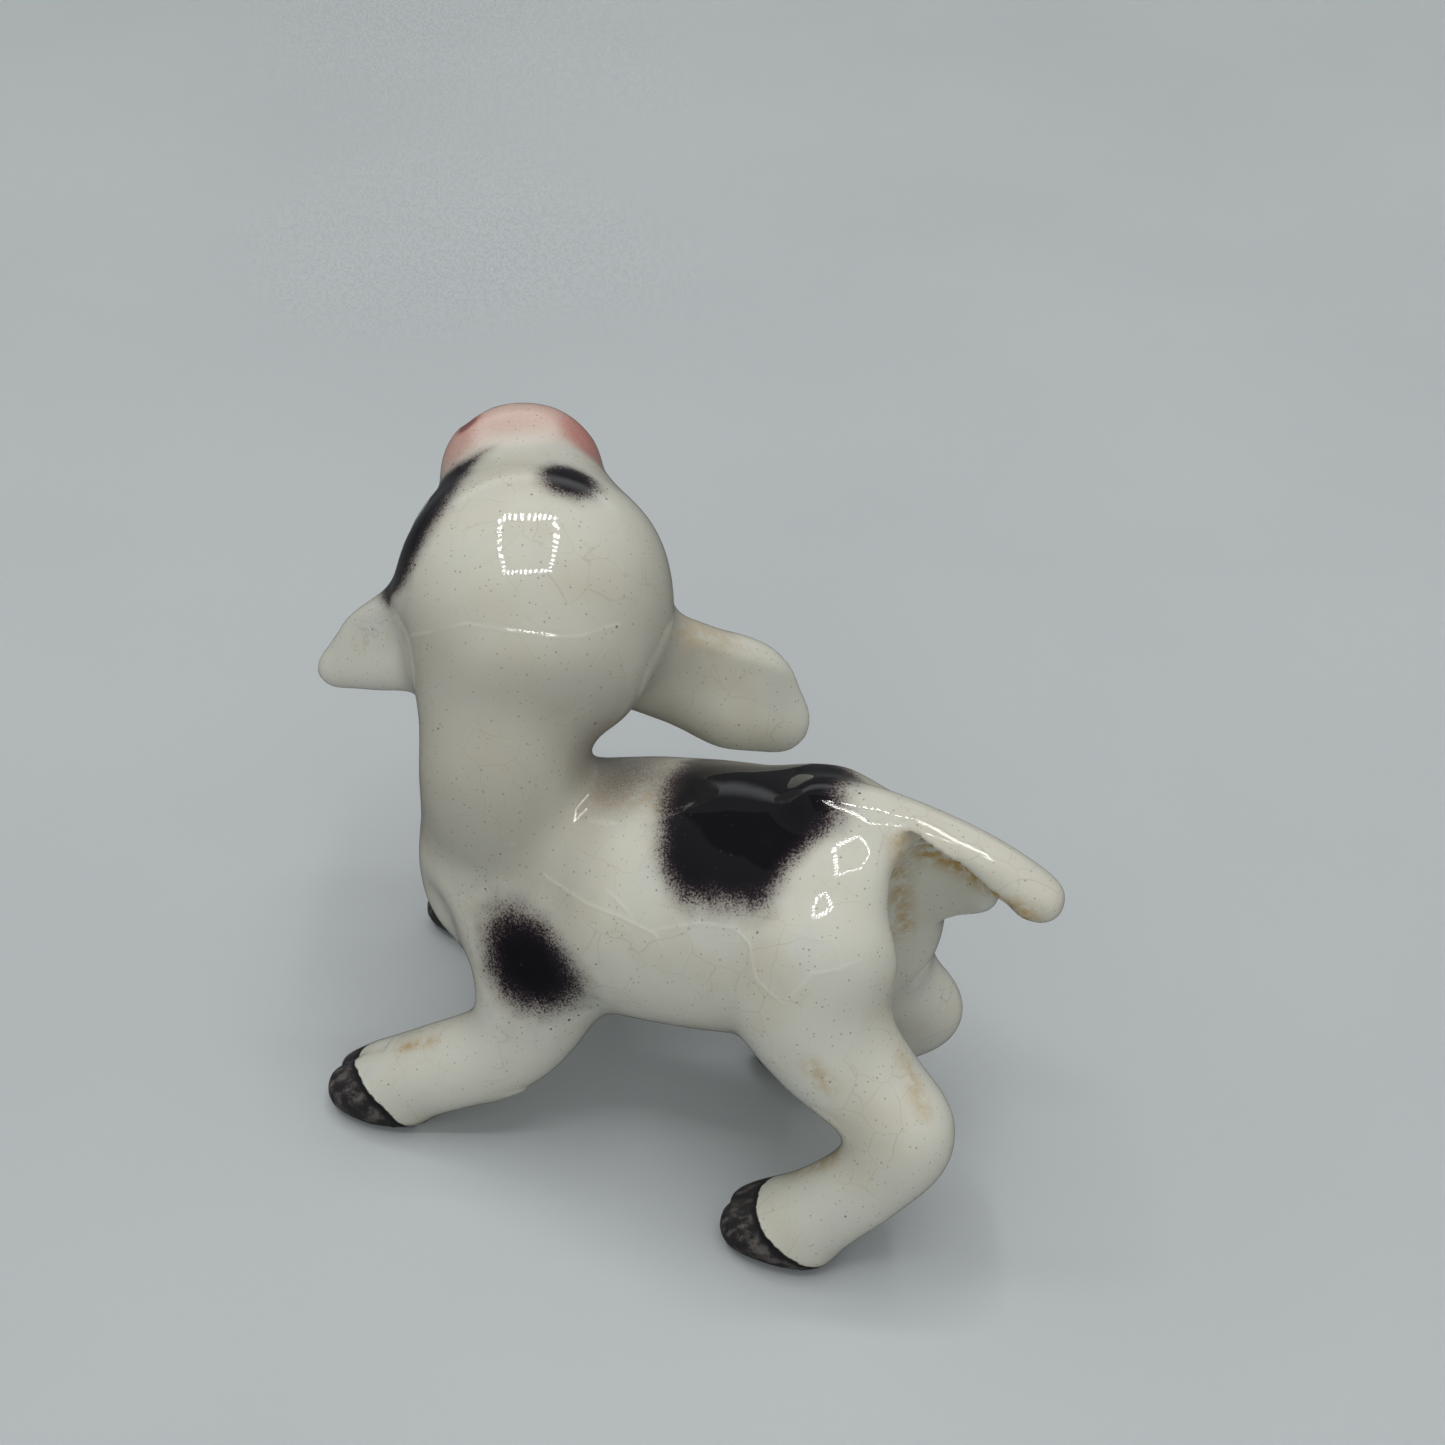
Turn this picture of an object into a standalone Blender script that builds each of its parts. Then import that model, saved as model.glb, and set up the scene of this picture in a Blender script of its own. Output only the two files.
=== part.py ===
"""A small standing calf, slip cast in one piece and glazed.

The calf faces -X with its left side to -Y, and it stands on four flat soles at Z = 0.
Its head is turned to its own right, its forelegs are spread forward and its rump is high.
The origin is under the middle of the figurine.
Sizes below are in millimetres.
"""
import math

import bmesh
import bpy
from mathutils import Vector

MM = 0.001

# trunk
SHOULDER_HEIGHT = 20.3
TRUNK_LENGTH = 25.0
HIP_RISE = 5.3
TRUNK_RADIUS = 9.8
CHEST_REACH = 5.0

# neck and head
NECK_LENGTH = 11.4
NECK_RADIUS = 7.0
HEAD_WIDTH = 21.6
HEAD_TURN = 59.2
HEAD_LIFT = 24.0
HEAD_TILT = 8.0
HEAD_OUT = 6.0
HEAD_AHEAD = 2.1
MUZZLE_REACH = 14.6
MUZZLE_WIDTH = 13.6

# ears
EAR_LENGTH = 17.3
EAR_WIDTH = 9.6
EAR_THICKNESS = 4.4
RIGHT_EAR_AIM = (1.0, -0.05, -0.44)
RIGHT_EAR_TWIST = 42.0
LEFT_EAR_AIM = (0.80, 0.32, -0.92)
LEFT_EAR_TWIST = 50.0

# legs, each row of a leg being (ahead, out share, height share, radius share)
LEG_RADIUS = 3.9
HOOF_LENGTH = 10.2
HOOF_WIDTH = 8.0
FORE_SPREAD = 10.2
HIND_SPREAD = 10.4
FORE_LEFT = (
    (-3.0, 0.00, 0.92, 1.45),
    (-3.2, 0.25, 0.68, 1.30),
    (-1.2, 0.60, 0.46, 1.03),
    (4.6, 0.88, 0.28, 0.97),
    (9.5, 1.00, 0.125, 0.98),
)
FORE_RIGHT = (
    (-3.0, 0.00, 0.92, 1.45),
    (-3.2, 0.28, 0.68, 1.30),
    (0.6, 0.68, 0.45, 1.08),
    (7.4, 1.10, 0.27, 1.00),
    (13.5, 1.42, 0.125, 0.98),
)
HIND_LEFT = (
    (-0.6, 0.00, 1.03, 1.80),
    (-0.8, 0.22, 0.88, 1.66),
    (-3.4, 0.42, 0.73, 1.30),
    (-7.4, 0.56, 0.615, 1.02),
    (-9.7, 0.66, 0.535, 0.99),
    (-7.6, 0.81, 0.37, 0.88),
    (-4.2, 0.94, 0.205, 0.90),
    (-1.0, 1.00, 0.10, 0.90),
)
HIND_RIGHT = (
    (0.4, 0.10, 0.92, 1.90),
    (-0.4, 0.26, 0.79, 1.75),
    (-1.2, 0.44, 0.61, 1.32),
    (-3.2, 0.58, 0.48, 0.98),
    (-5.5, 0.66, 0.405, 0.86),
    (-2.8, 0.68, 0.28, 0.82),
    (1.2, 0.66, 0.17, 0.84),
    (4.4, 0.66, 0.10, 0.92),
)

# fold between the thighs, as deep from the rump's back
FOLD_WIDTH = 7.6
FOLD_DEPTH = 3.6

# tail
TAIL_LENGTH = 15.4
TAIL_RADIUS = 2.5
WEB_OUT = 4.4

# clay surface
RING_SIDES = 28
CLAY_STEP = 0.55
SOFTEN_PASSES = 36
FACET_SHARE = 0.11


def remove_everything():
    for obj in list(bpy.data.objects):
        bpy.data.objects.remove(obj, do_unlink=True)


def spline_point(points, t):
    """Point of a smooth curve through the given tuples, t running from 0 to 1."""
    spans = len(points) - 1
    place = min(t * spans, spans - 1e-9)
    i = int(place)
    f = place - i
    p1 = points[i]
    p2 = points[i + 1]
    p0 = points[i - 1] if i > 0 else [2 * a - b for a, b in zip(p1, p2)]
    p3 = points[i + 2] if i + 2 <= spans else [2 * b - a for a, b in zip(p1, p2)]
    out = []
    for a, b, c, d in zip(p0, p1, p2, p3):
        out.append(0.5 * (2 * b + (c - a) * f + (2 * a - 5 * b + 4 * c - d) * f * f
                          + (3 * b - a - 3 * c + d) * f ** 3))
    return out


def add_limb(bm, stations, up, first_cap, last_cap, steps=5):
    """A closed tube of clay through stations of (centre, half width, half height).

    The half height lies towards up, and the two caps are the depths of its rounded ends.
    """
    flat = [tuple(centre) + (wide, high) for centre, wide, high in stations]
    count = (len(flat) - 1) * steps
    rows = [spline_point(flat, k / count) for k in range(count + 1)]
    centres = [Vector(row[:3]) for row in rows]
    rings = []
    for k, row in enumerate(rows):
        before = centres[max(k - 1, 0)]
        after = centres[min(k + 1, count)]
        along = (after - before).normalized()
        across = along.cross(up).normalized()
        high = across.cross(along).normalized()
        rings.append((centres[k], across, high, row[3], row[4], along))
    cap_steps = 6
    start = []
    for j in range(1, cap_steps):
        a = math.radians(90.0 * j / cap_steps)
        centre, across, high, w, h, along = rings[0]
        start.append((centre - along * first_cap * math.sin(a), across, high,
                      w * math.cos(a), h * math.cos(a), along))
    end = []
    for j in range(1, cap_steps):
        a = math.radians(90.0 * j / cap_steps)
        centre, across, high, w, h, along = rings[-1]
        end.append((centre + along * last_cap * math.sin(a), across, high,
                    w * math.cos(a), h * math.cos(a), along))
    full = start[::-1] + rings + end
    loops = []
    for centre, across, high, w, h, along in full:
        loop = []
        for s in range(RING_SIDES):
            a = 2.0 * math.pi * s / RING_SIDES
            loop.append(bm.verts.new(centre + across * w * math.cos(a) + high * h * math.sin(a)))
        loops.append(loop)
    for one, two in zip(loops, loops[1:]):
        for s in range(RING_SIDES):
            n = (s + 1) % RING_SIDES
            bm.faces.new((one[s], one[n], two[n], two[s]))
    pole_in = bm.verts.new(rings[0][0] - rings[0][5] * first_cap)
    pole_out = bm.verts.new(rings[-1][0] + rings[-1][5] * last_cap)
    for s in range(RING_SIDES):
        n = (s + 1) % RING_SIDES
        bm.faces.new((pole_in, loops[0][n], loops[0][s]))
        bm.faces.new((pole_out, loops[-1][s], loops[-1][n]))


def trunk_frame():
    shoulder = Vector((0.0, 0.0, SHOULDER_HEIGHT))
    hip = shoulder + Vector((TRUNK_LENGTH, 0.0, HIP_RISE))
    return shoulder, hip


def add_trunk(bm):
    shoulder, hip = trunk_frame()
    r = TRUNK_RADIUS
    chest = shoulder + Vector((-CHEST_REACH, 0.0, 0.02 * r))
    stations = [
        (chest, 0.66 * r, 0.78 * r),
        (shoulder.lerp(chest, 0.45), 0.82 * r, 0.92 * r),
        (shoulder.lerp(hip, 0.12), 0.93 * r, 0.98 * r),
        (shoulder.lerp(hip, 0.45), 1.04 * r, 1.05 * r),
        (shoulder.lerp(hip, 0.78), 1.02 * r, 1.06 * r),
        (hip + Vector((-0.10 * r, 0, 0.04 * r)), 0.90 * r, 0.98 * r),
    ]
    add_limb(bm, stations, Vector((0, 0, 1)), 0.45 * r, 0.22 * r)


def add_hip_bone(bm, start, end, thick):
    """A low swelling at the top of the rump, its ends given in shares of the trunk's radius."""
    shoulder, hip = trunk_frame()
    r = TRUNK_RADIUS
    stations = [(hip + Vector(place) * r, thick * r, thick * r) for place in (start, end)]
    add_limb(bm, stations, Vector((0, 0, 1)), 0.8 * thick * r, 0.7 * thick * r)


def head_axes():
    """The head's right, forward and up directions."""
    turn = math.radians(180.0 - HEAD_TURN)
    lift = math.radians(HEAD_LIFT)
    tilt = math.radians(HEAD_TILT)
    forward = Vector((math.cos(lift) * math.cos(turn), math.cos(lift) * math.sin(turn),
                      math.sin(lift)))
    level_right = Vector((math.sin(turn), -math.cos(turn), 0.0))
    level_up = level_right.cross(forward)
    right = level_right * math.cos(tilt) - level_up * math.sin(tilt)
    up = level_up * math.cos(tilt) + level_right * math.sin(tilt)
    return right, forward, up


def head_place():
    """The middle of the skull."""
    shoulder, hip = trunk_frame()
    rise = 0.35 * TRUNK_RADIUS + NECK_LENGTH + 0.235 * HEAD_WIDTH
    return shoulder + Vector((-HEAD_AHEAD, HEAD_OUT, rise))


def add_neck(bm):
    shoulder, hip = trunk_frame()
    right, forward, up = head_axes()
    skull = head_place()
    half = 0.5 * HEAD_WIDTH
    r = NECK_RADIUS
    low = shoulder + Vector((-1.4, -0.5, 0.25 * TRUNK_RADIUS))
    throat = low + Vector((0.1, -1.3, 0.75 * NECK_LENGTH))
    top = skull - forward * 0.45 * half - up * 0.15 * half - right * 0.22 * half
    stations = [
        (low, 1.08 * r, 1.14 * r),
        (low.lerp(throat, 0.5), 0.96 * r, 1.00 * r),
        (throat, 0.90 * r, 0.92 * r),
        (throat.lerp(top, 0.5), 0.88 * r, 0.88 * r),
        (top, 0.66 * half, 0.66 * half),
    ]
    add_limb(bm, stations, Vector((1, 0, 0)), 0.6 * r, 0.4 * half)
    level = Vector((forward.x, forward.y, 0.0))
    nape = [
        (low.lerp(throat, 0.3) - level * 0.05 * r, 0.88 * r, 0.88 * r),
        (throat - level * 0.12 * r, 0.90 * r, 0.90 * r),
        (throat.lerp(top, 0.6) - level * 0.20 * r, 0.92 * r, 0.92 * r),
        (top - forward * 0.10 * half, 0.64 * half, 0.64 * half),
    ]
    add_limb(bm, nape, Vector((1, 0, 0)), 0.5 * r, 0.4 * r)
    withers = [
        (low.lerp(throat, 0.45) + Vector((0.5, -0.5, 0.0)), 0.78 * r, 0.78 * r),
        (low.lerp(throat, 0.10) + Vector((0.28 * r, -0.2, 0.0)), 0.92 * r, 0.94 * r),
        (shoulder.lerp(hip, 0.30) + Vector((0.0, -0.4, 0.22 * TRUNK_RADIUS)), 1.02 * r, 1.00 * r),
    ]
    add_limb(bm, withers, Vector((0, 1, 0)), 0.4 * r, 0.6 * r)


def add_head(bm):
    skull = head_place()
    right, forward, up = head_axes()
    half = 0.5 * HEAD_WIDTH
    snout = 0.5 * MUZZLE_WIDTH
    reach = MUZZLE_REACH

    def at(ahead, rise):
        return skull + forward * ahead + up * rise

    stations = [
        (at(-0.58 * half, 0.16 * half), 0.74 * half, 0.60 * half),
        (at(-0.28 * half, 0.12 * half), 0.92 * half, 0.80 * half),
        (at(0.06 * half, 0.06 * half), 1.0 * half, 0.90 * half),
        (at(0.35 * reach, 0.0), 0.96 * half, 0.91 * half),
        (at(0.64 * reach, -0.4), 1.20 * snout, 1.16 * snout),
        (at(0.86 * reach, -0.7), 1.00 * snout, 0.98 * snout),
        (at(1.02 * reach, -0.9), 0.99 * snout, 0.92 * snout),
    ]
    add_limb(bm, stations, up, 0.42 * half, 0.72 * snout)


def add_ear(bm, side, aim, twist, root_out, root_rise, sag, shares):
    """One ear, side +1 for the calf's right and -1 for its left.

    The aim is how far it runs out, ahead and up, and the twist turns its flat to the back.
    The sag lowers its tip by that share of the half width.
    """
    skull = head_place()
    right, forward, up = head_axes()
    half = 0.5 * HEAD_WIDTH
    root = skull + right * side * root_out * half + up * root_rise * half - forward * 0.10 * half
    along = (right * side * aim[0] + forward * aim[1] + up * aim[2]).normalized()
    turn = math.radians(twist)
    rim = up * math.cos(turn) + forward * math.sin(turn)
    broad = (rim - along * rim.dot(along)).normalized()
    w = 0.5 * EAR_WIDTH
    t = 0.5 * EAR_THICKNESS
    stations = []
    for place, share in zip((0.0, 0.3, 0.6, 0.85), shares):
        centre = root + along * place * EAR_LENGTH - broad * sag * place ** 3 * w
        stations.append((centre, (0.45 + 0.6 * share) * t, share * w))
    add_limb(bm, stations, broad, 0.4 * w, 0.16 * EAR_LENGTH)


def add_leg(bm, top, side, inner, spread, rows):
    """A leg down from the joint top through its rows, ending in a hoof on the floor."""
    points = []
    for ahead, out, height, thick in rows:
        y = side * (inner + out * (spread - inner))
        points.append((Vector((top.x - ahead, y, height * top.z)), LEG_RADIUS * thick))
    stations = [(centre, radius, radius) for centre, radius in points]
    add_limb(bm, stations, Vector((0.15, 1.0, 0.1)).normalized(), 0.8 * points[0][1],
             0.5 * LEG_RADIUS)
    foot = points[-1][0]
    step = foot - points[-2][0]
    toes = Vector((step.x, 0.4 * step.y, 0.0)).normalized()
    w = 0.5 * HOOF_WIDTH
    stations = [
        (foot - toes * 0.28 * HOOF_LENGTH, 0.86 * w, 0.80 * w),
        (foot, 1.0 * w, 0.88 * w),
        (foot + toes * 0.30 * HOOF_LENGTH - Vector((0, 0, 0.9)), 0.88 * w, 0.60 * w),
    ]
    add_limb(bm, stations, Vector((0, 0, 1)), 0.22 * HOOF_LENGTH, 0.24 * HOOF_LENGTH)


def add_legs(bm):
    shoulder, hip = trunk_frame()
    fore = 0.52 * TRUNK_RADIUS
    hind = 0.42 * TRUNK_RADIUS
    add_leg(bm, shoulder, -1.0, fore, FORE_SPREAD, FORE_LEFT)
    add_leg(bm, shoulder, 1.0, fore, FORE_SPREAD, FORE_RIGHT)
    add_leg(bm, hip, -1.0, hind, HIND_SPREAD, HIND_LEFT)
    add_leg(bm, hip, 1.0, hind, HIND_SPREAD, HIND_RIGHT)


def add_tail(bm):
    """The stub of a tail and the web of clay from it to the right buttock."""
    shoulder, hip = trunk_frame()
    r = TRUNK_RADIUS
    t = TAIL_RADIUS
    root = hip + Vector((-0.20 * r, 0.3, 0.86 * r))
    end = hip + Vector((0.10 * r + 0.96 * TAIL_LENGTH, 1.1, 0.79 * r - 0.17 * TAIL_LENGTH))
    stations = [
        (root, 1.15 * t, 1.05 * t),
        (root.lerp(end, 0.35) + Vector((0, 0, 0.6 * t)), 1.05 * t, 0.98 * t),
        (root.lerp(end, 0.7) + Vector((0, 0, 0.5 * t)), 0.98 * t, 0.94 * t),
        (end, 0.92 * t, 0.90 * t),
    ]
    add_limb(bm, stations, Vector((0, 0, 1)), 0.8 * t, 0.7 * t)
    web = [
        (hip + Vector((0.0, 0.90 * WEB_OUT, 0.45 * r)), 0.36 * r, 0.45 * r),
        (hip + Vector((0.56 * r, WEB_OUT, 0.24 * r)), 0.28 * r, 0.48 * r),
        (hip + Vector((1.02 * r, 0.74 * WEB_OUT, 0.40 * r)), 0.22 * r, 0.36 * r),
    ]
    add_limb(bm, web, Vector((0, 0, 1)), 0.2 * r, 0.2 * r)


def add_fold(bm):
    """The upright hollow that is taken out between the thighs, below the tail."""
    shoulder, hip = trunk_frame()
    half = 0.5 * FOLD_WIDTH
    back = hip + Vector((0.72 * TRUNK_RADIUS + half - FOLD_DEPTH, -0.6, 0.0))
    stations = [
        (back + TRUNK_RADIUS * Vector((0.10, 0.0, 0.62)), half, half),
        (back + TRUNK_RADIUS * Vector((0.0, 0.0, 0.20)), half, half),
        (back - TRUNK_RADIUS * Vector((0.0, 0.0, 0.30)), half, half),
        (back - TRUNK_RADIUS * Vector((0.06, 0.0, 0.95)), half, half),
    ]
    add_limb(bm, stations, Vector((1, 0, 0)), 0.5 * half, half)


def finish_mesh(bm, name):
    """The shapes of one bmesh as a mesh in metres, facing out."""
    bmesh.ops.recalc_face_normals(bm, faces=bm.faces)
    bmesh.ops.scale(bm, vec=(MM, MM, MM), verts=bm.verts)
    mesh = bpy.data.meshes.new(name)
    bm.to_mesh(mesh)
    bm.free()
    return mesh


def clay_hollow():
    bm = bmesh.new()
    add_fold(bm)
    return finish_mesh(bm, "hollow")


def cast_clay():
    """All the limbs as overlapping closed shapes in one mesh, still to be merged."""
    bm = bmesh.new()
    add_trunk(bm)
    add_hip_bone(bm, (-0.42, 0.33, 0.46), (-0.08, 0.33, 0.53), 0.46)
    add_hip_bone(bm, (-0.05, -0.24, 0.50), (0.34, -0.22, 0.54), 0.37)
    add_neck(bm)
    add_head(bm)
    add_ear(bm, 1.0, RIGHT_EAR_AIM, RIGHT_EAR_TWIST, 0.80, -0.34, 0.62, (0.98, 1.0, 1.08, 0.66))
    add_ear(bm, -1.0, LEFT_EAR_AIM, LEFT_EAR_TWIST, 0.50, 0.11, 0.30, (0.96, 0.98, 0.80, 0.46))
    add_legs(bm)
    add_tail(bm)
    return finish_mesh(bm, "calf")


def evaluated_mesh(obj):
    graph = bpy.context.evaluated_depsgraph_get()
    return bpy.data.meshes.new_from_object(obj.evaluated_get(graph), depsgraph=graph)


def merge(obj, name):
    """A modifier that makes one closed skin of everything the object holds so far."""
    remesh = obj.modifiers.new(name, "REMESH")
    remesh.mode = "VOXEL"
    remesh.voxel_size = CLAY_STEP * MM


def fuse(mesh, hollow_mesh):
    """The overlapping shapes, less the hollow, as one soft body of clay with evened facets."""
    obj = bpy.data.objects.new("clay", mesh)
    bpy.context.collection.objects.link(obj)
    hollow = bpy.data.objects.new("hollow", hollow_mesh)
    bpy.context.collection.objects.link(hollow)
    hollow.hide_render = True
    hollow.display_type = "WIRE"
    merge(obj, "cast")
    cut = obj.modifiers.new("fold", "BOOLEAN")
    cut.operation = "DIFFERENCE"
    cut.solver = "EXACT"
    cut.object = hollow
    merge(obj, "recast")
    soften = obj.modifiers.new("soften", "SMOOTH")
    soften.factor = 0.5
    soften.iterations = SOFTEN_PASSES
    fewer = obj.modifiers.new("facets", "DECIMATE")
    fewer.ratio = FACET_SHARE
    bpy.context.view_layer.update()
    result = evaluated_mesh(obj)
    bpy.data.objects.remove(obj, do_unlink=True)
    bpy.data.objects.remove(hollow, do_unlink=True)
    return result


def cut_soles(mesh):
    """Grinds the feet flat at floor level and puts the origin under the middle."""
    bm = bmesh.new()
    bm.from_mesh(mesh)
    everything = list(bm.verts) + list(bm.edges) + list(bm.faces)
    bmesh.ops.bisect_plane(bm, geom=everything, dist=1e-7, plane_co=(0, 0, 0),
                           plane_no=(0, 0, -1), clear_outer=True)
    rims = [edge for edge in bm.edges if edge.is_boundary]
    bmesh.ops.holes_fill(bm, edges=rims, sides=0)
    bmesh.ops.triangulate(bm, faces=bm.faces)
    bmesh.ops.recalc_face_normals(bm, faces=bm.faces)
    xs = [v.co.x for v in bm.verts]
    ys = [v.co.y for v in bm.verts]
    middle = Vector(((min(xs) + max(xs)) / 2, (min(ys) + max(ys)) / 2, 0.0))
    bmesh.ops.translate(bm, vec=-middle, verts=bm.verts)
    bm.to_mesh(mesh)
    bm.free()
    return middle


def glaze():
    material = bpy.data.materials.new("white glaze")
    material.use_nodes = True
    shader = material.node_tree.nodes["Principled BSDF"]
    shader.inputs["Base Color"].default_value = (0.80, 0.77, 0.70, 1.0)
    shader.inputs["Roughness"].default_value = 0.12
    shader.inputs["Metallic"].default_value = 0.0
    return material


def main():
    remove_everything()
    mesh = fuse(cast_clay(), clay_hollow())
    middle = cut_soles(mesh)
    mesh.name = "calf"
    mesh.materials.clear()
    mesh.materials.append(glaze())
    mesh.shade_smooth()
    calf = bpy.data.objects.new("calf", mesh)
    bpy.context.collection.objects.link(calf)
    return middle


if __name__ == "__main__":
    main()
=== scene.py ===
"""Looks of the glazed calf: the cast and its small forms, the painted glaze, the table, the light.

Sizes are in millimetres in the part's own frame unless a name says otherwise, and colours are
linear red, green, blue and alpha. A pair of limits is where a mask is empty and where it is full.
"""

import math

import bmesh
import bpy
import numpy as np
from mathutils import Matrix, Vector, noise


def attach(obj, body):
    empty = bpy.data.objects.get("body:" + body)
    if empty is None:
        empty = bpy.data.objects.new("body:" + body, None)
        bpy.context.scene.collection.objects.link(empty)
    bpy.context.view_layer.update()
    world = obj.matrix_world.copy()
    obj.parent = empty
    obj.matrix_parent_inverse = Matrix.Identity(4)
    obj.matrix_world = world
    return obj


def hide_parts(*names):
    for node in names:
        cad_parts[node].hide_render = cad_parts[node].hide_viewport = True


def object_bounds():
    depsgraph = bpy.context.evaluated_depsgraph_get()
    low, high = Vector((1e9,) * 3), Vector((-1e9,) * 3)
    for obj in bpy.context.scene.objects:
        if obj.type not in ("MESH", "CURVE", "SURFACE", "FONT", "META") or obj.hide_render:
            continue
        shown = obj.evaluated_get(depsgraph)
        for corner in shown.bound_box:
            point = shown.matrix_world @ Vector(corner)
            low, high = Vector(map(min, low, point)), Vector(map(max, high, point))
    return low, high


MM = 0.001

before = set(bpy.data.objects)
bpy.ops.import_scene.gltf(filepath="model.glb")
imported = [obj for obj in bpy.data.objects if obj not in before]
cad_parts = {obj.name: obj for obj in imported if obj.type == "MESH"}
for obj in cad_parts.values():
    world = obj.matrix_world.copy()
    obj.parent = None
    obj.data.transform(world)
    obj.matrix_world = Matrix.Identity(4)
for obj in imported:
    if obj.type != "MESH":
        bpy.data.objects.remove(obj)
cad_low, cad_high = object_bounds()

# camera, as the photo sees the calf
CAMERA_AT = Vector((54.4, -115.2, 127.9))
CAMERA_AZIMUTH = 24.0
CAMERA_ELEVATION = 36.0
CAMERA_LENS = 52.3
CAMERA_SENSOR = 36.0
CAMERA_CLIP = 5.0

# trunk axis, from the shoulders to the hips
SHOULDER = np.array((-11.0, -4.5, 20.3))
HIP = np.array((14.0, -4.5, 25.6))
TRUNK_RADIUS = 9.6

# head, with its right, forward and up directions
SKULL = np.array((-13.1, 1.5, 40.2))
HEAD_RIGHT = np.array((0.82, 0.56, -0.13))
HEAD_FORWARD = np.array((-0.47, 0.78, 0.41))
HEAD_UP = np.array((0.33, -0.27, 0.90))

# ears: root, direction out, broad direction, and the way the hollow faces
EARS = (
    ((-6.7, 6.4, 35.4), (0.64, 0.58, -0.50), (0.15, 0.54, 0.83), (-0.75, 0.60, -0.26)),
    ((-16.7, -2.6, 41.2), (-0.88, 0.05, -0.48), (-0.41, 0.45, 0.79), (0.25, 0.89, -0.38)),
)

# hooves: foot (x, y), then how the paint's edge runs: height share, side share, reach
HOOVES = (
    ((-20.5, -14.7), 1.0, 1.0, 1.9),
    ((-24.5, 7.8), 1.0, 0.8, 2.2),
    ((15.0, -14.9), 1.5, 0.16, 5.5),
    ((9.6, 3.7), 1.5, 0.16, 5.5),
)

# raised threads in the glaze, as polylines on the surface
THREADS = (
    ((-8.5, -12.0, 29.8), (-5.8, -12.1, 27.6), (-1.8, -13.3, 27.3), (1.2, -13.7, 27.4),
     (3.9, -14.0, 27.1), (4.8, -14.3, 26.4)),
    ((-0.4, -12.7, 28.7), (2.1, -13.6, 27.7)),
    ((3.9, -13.9, 27.3), (7.3, -13.4, 28.8), (10.1, -13.3, 29.2), (11.5, -14.1, 28.8),
     (12.4, -15.2, 26.9), (14.7, -15.8, 25.9), (15.6, -15.4, 27.2), (16.4, -14.8, 28.5),
     (18.2, -13.8, 28.9), (19.2, -12.6, 29.2)),
    ((12.2, -13.1, 30.5), (15.8, -13.5, 30.5), (17.1, -13.0, 30.4), (18.2, -13.6, 29.2)),
    ((11.8, -9.7, 32.4), (13.5, -9.5, 32.1), (15.1, -9.6, 32.0), (15.8, -8.9, 32.0)),
    ((-23.2, -4.5, 38.6), (-20.4, -6.4, 41.4), (-17.3, -7.4, 43.2), (-13.7, -7.4, 45.0),
     (-10.4, -7.0, 45.0), (-7.7, -6.0, 44.6), (-6.0, -4.6, 44.3), (-4.5, -1.8, 44.0),
     (-3.2, 3.0, 40.4), (-2.4, 8.2, 36.0)),
)

# a distance that stands for out of reach
FAR_OFF = 9.0


def unit(v):
    v = np.array(v, float)
    return v / np.linalg.norm(v)


def smoothstep(low, high, x):
    """0 at the low limit, 1 at the high one, and a smooth rise between them."""
    t = np.clip((x - low) / (high - low), 0.0, 1.0)
    return t * t * (3.0 - 2.0 * t)


def bell(distance, reach):
    """1 at distance 0, fading out smoothly past the reach."""
    return np.exp(-(distance / reach) ** 2)


def line_distance(p, points):
    """Distance of each row of p to a polyline."""
    best = np.full(len(p), np.inf)
    for a, b in zip(points, points[1:]):
        a = np.array(a, float)
        ab = np.array(b, float) - a
        t = np.clip((p - a) @ ab / (ab @ ab), 0.0, 1.0)
        best = np.minimum(best, np.linalg.norm(p - a - t[:, None] * ab, axis=1))
    return best


def thread_distance(p):
    """Distance of each row of p to the nearest raised thread."""
    return np.minimum.reduce([line_distance(p, points) for points in THREADS])


def blob(p, centre, radii, along=(1, 0, 0), up=(0, 0, 1)):
    """Distance to an ellipsoid's middle in shares of its radii, 1 being its skin."""
    x = unit(along)
    z = unit(np.array(up, float) - x * (x @ np.array(up, float)))
    y = np.cross(z, x)
    q = p - np.array(centre, float)
    q = np.stack((q @ x / radii[0], q @ y / radii[1], q @ z / radii[2]), axis=1)
    return np.linalg.norm(q, axis=1)


def rounded_box(u, v, middle, half, corner):
    """Distance to a rectangle with round corners, below 0 inside."""
    du = np.abs(u - middle[0]) - half[0] + corner
    dv = np.abs(v - middle[1]) - half[1] + corner
    outside = np.sqrt(np.maximum(du, 0.0) ** 2 + np.maximum(dv, 0.0) ** 2)
    return outside + np.minimum(np.maximum(du, dv), 0.0) - corner


def trunk_coordinates(p):
    """Place along the trunk, and the way round it from the spine down the left side."""
    axis = HIP - SHOULDER
    share = (p[:, 0] - SHOULDER[0]) / axis[0]
    centre_z = SHOULDER[2] + share * axis[2]
    around = np.arctan2(-(p[:, 1] - SHOULDER[1]), p[:, 2] - centre_z)
    return p[:, 0], TRUNK_RADIUS * around


def head_coordinates(p):
    """Places to the head's right, forward and up from the skull's middle."""
    q = p - SKULL
    return q @ HEAD_RIGHT, q @ HEAD_FORWARD, q @ HEAD_UP


def ear_coordinates(p, ear):
    """Places out along an ear, across it and in front of it."""
    root, along, broad, front = ear
    q = p - np.array(root)
    return q @ unit(along), q @ unit(broad), q @ unit(front)


def coordinates(mesh):
    co = np.empty(len(mesh.vertices) * 3)
    mesh.vertices.foreach_get("co", co)
    return co.reshape(-1, 3) / MM


def normals(mesh):
    out = np.empty(len(mesh.vertices) * 3)
    mesh.vertices.foreach_get("normal", out)
    return out.reshape(-1, 3)


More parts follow.
